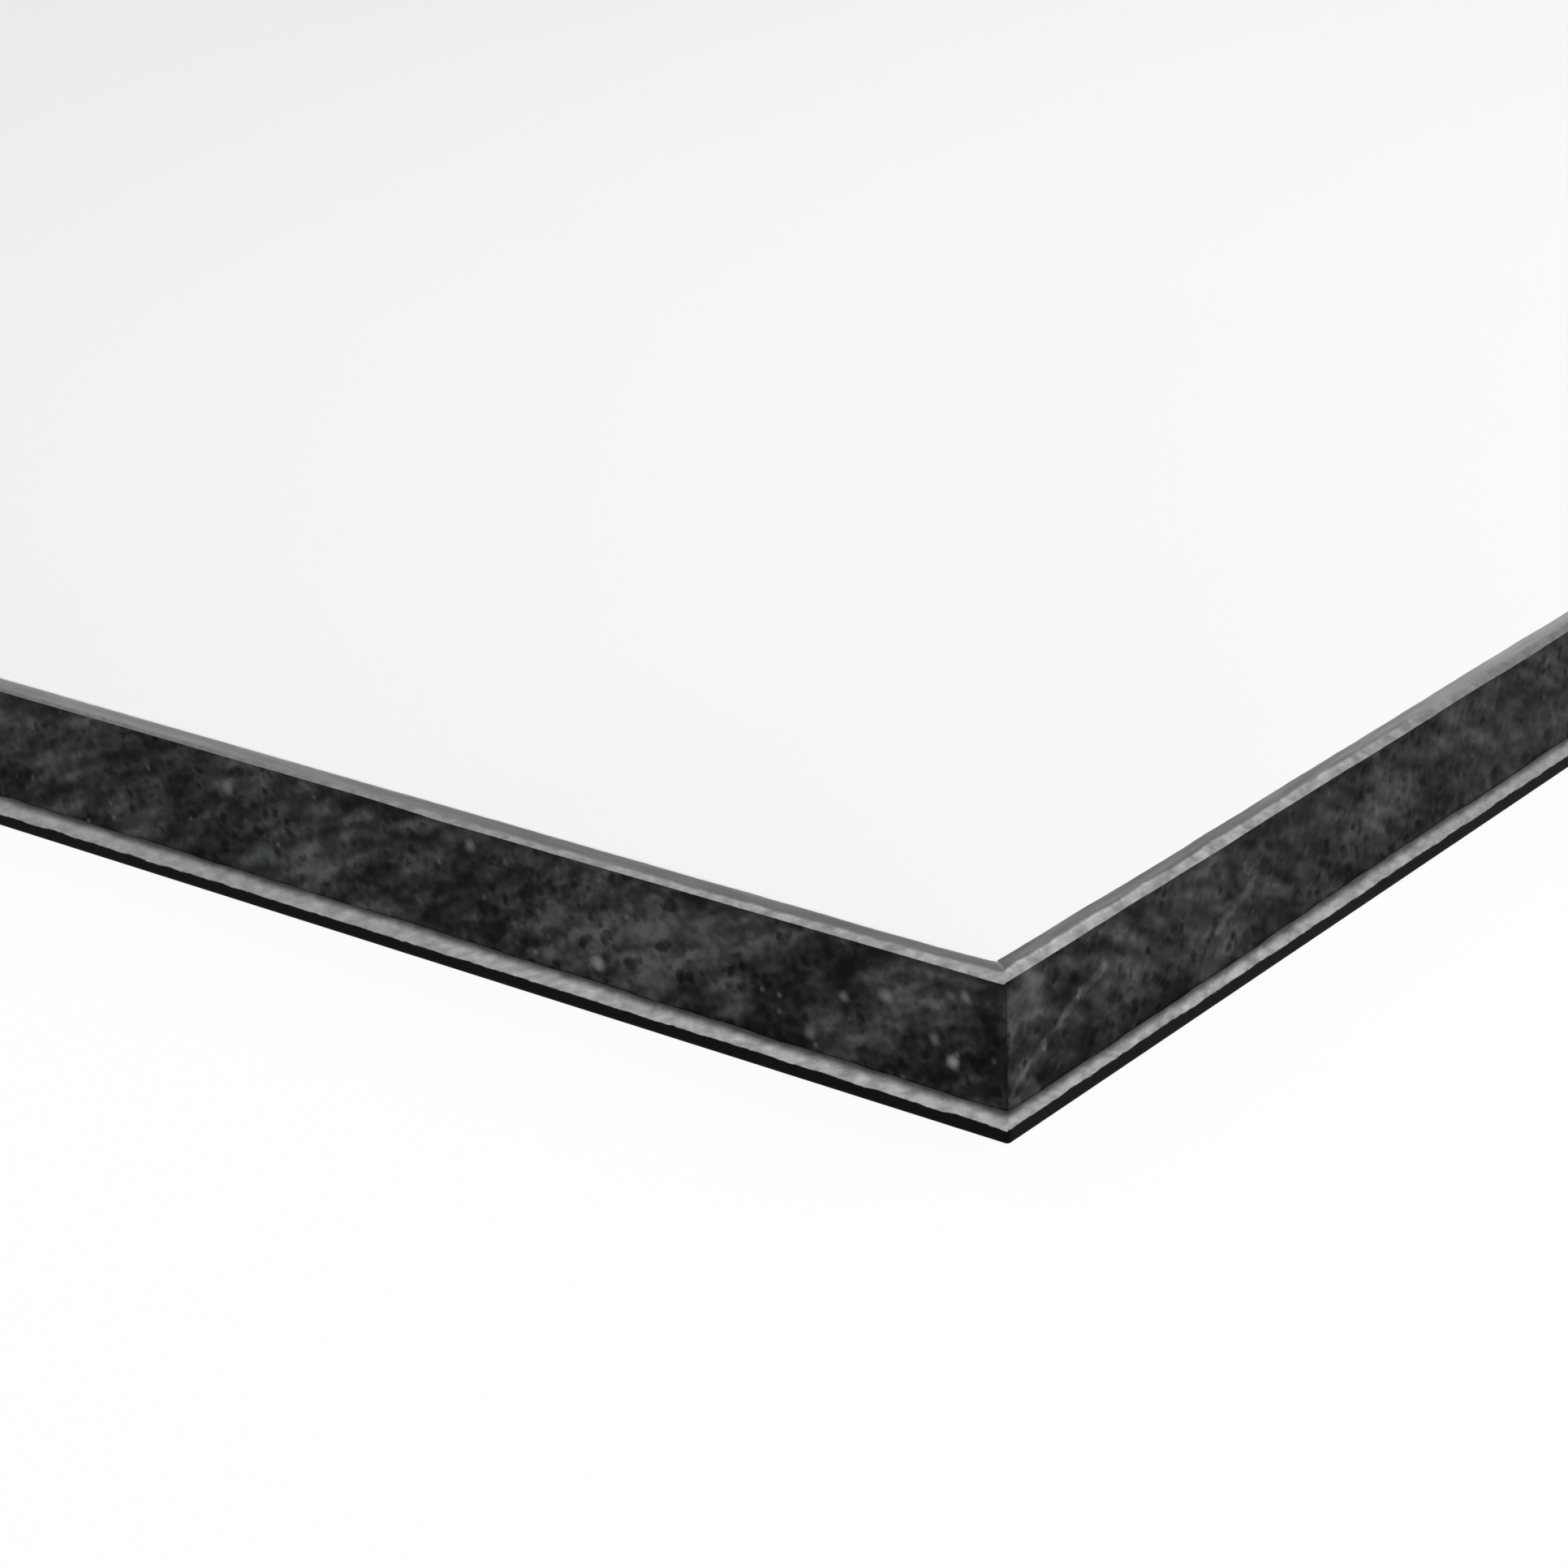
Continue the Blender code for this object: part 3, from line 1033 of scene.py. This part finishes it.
camera = {
    "fromCorner": (42.94, -60.85, 39.01),
    "yaw": -38.50,
    "pitch": 22.57,
    "roll": -2.07,
    "focalPixels": 5100.0,
    "framePixels": 1932.0,
    "sensor": 36.0,
    "nearest": 2.0,
    "farthest": 20000.0,
}


def seenWhite(finish):
    # 1 on camera, mirror and see-through rays, 0 on the rays that carry light
    ways = ["Is Camera Ray", "Is Glossy Ray", "Is Transmission Ray"]
    rays = [finish.node("ShaderNodeLightPath", output=way) for way in ways]
    return rays[0].most(rays[1]).most(rays[2])


def makeFloor():
    # a white table just below the back face
    mesh = bpy.data.meshes.new("floor")
    reach, drop = setting["floorSize"] / 2 / metre, -setting["floorDrop"] / metre
    corners = [(x * reach, y * reach, drop) for x, y in ((-1, -1), (1, -1), (1, 1), (-1, 1))]
    mesh.from_pydata(corners, [], [(0, 1, 2, 3)])
    floor = bpy.data.objects.new("floor", mesh)
    bpy.context.scene.collection.objects.link(floor)
    finish = Finish(bpy.data.materials.new("white table"))
    matt = finish.node("ShaderNodeBsdfDiffuse", sockets={"Color": setting["floorColour"]})
    glow = finish.node("ShaderNodeEmission", sockets={"Color": rgb(1, 1, 1), "Strength": 1.0})
    share = seenWhite(finish) * setting["floorGlow"]
    mixed = finish.node("ShaderNodeMixShader", sockets={0: share, 1: matt, 2: glow})
    finish.node("ShaderNodeOutputMaterial", sockets={"Surface": mixed})
    mesh.materials.append(finish.owner)


def makeLight():
    # a plain sky, which is seen as white, and the lamps
    world = bpy.data.worlds.new("studio")
    bpy.context.scene.world = world
    sky = Finish(world)
    white = seenWhite(sky)
    strength = white + (1 - white) * setting["sky"]
    light = sky.node("ShaderNodeBackground", sockets={"Color": rgb(1, 1, 1), "Strength": strength})
    sky.node("ShaderNodeOutputWorld", sockets={"Surface": light})
    for name, (place, aim, width, power) in setting["lamps"].items():
        lamp = bpy.data.lights.new(name, "AREA")
        lamp.size = width / metre
        lamp.energy = power
        held = bpy.data.objects.new(name, lamp)
        bpy.context.scene.collection.objects.link(held)
        held.location = (Vector(photoCorner) + Vector(place)) / metre
        held.rotation_euler = (Vector(aim) - Vector(place)).to_track_quat("-Z", "Y").to_euler()


def makeCamera():
    # looks along yaw and pitch, and is turned about that direction by roll
    lens = bpy.data.cameras.new("camera")
    lens.sensor_width = camera["sensor"]
    lens.lens = camera["sensor"] * camera["focalPixels"] / camera["framePixels"]
    lens.clip_start = camera["nearest"] / metre
    lens.clip_end = camera["farthest"] / metre
    eye = bpy.data.objects.new("camera", lens)
    bpy.context.scene.collection.objects.link(eye)
    yaw, pitch, roll = (math.radians(camera[name]) for name in ("yaw", "pitch", "roll"))
    ahead = Vector((math.sin(yaw) * math.cos(pitch), math.cos(yaw) * math.cos(pitch),
                    -math.sin(pitch)))
    level = Vector((math.cos(yaw), -math.sin(yaw), 0.0))
    upright = level.cross(ahead)
    right = level * math.cos(roll) + upright * math.sin(roll)
    up = upright * math.cos(roll) - level * math.sin(roll)
    turn = Matrix((right, up, -ahead)).transposed().to_4x4()
    place = (Vector(photoCorner) + Vector(camera["fromCorner"])) / metre
    eye.matrix_world = Matrix.Translation(place) @ turn
    bpy.context.scene.camera = eye


makeCamera()
makeFloor()
makeLight()
print("camera, floor and light made")
stations = rimStations()
print("rim:", len(stations["way"]), "stations")
makeFaceSkin(stations).data.materials.append(whiteFacedFinish())
makeBackSkin(stations).data.materials.append(backFinish())
makeCore(stations).data.materials.append(coreFinish())
print("finishes made")
bpy.context.scene.view_settings.view_transform = "Standard"
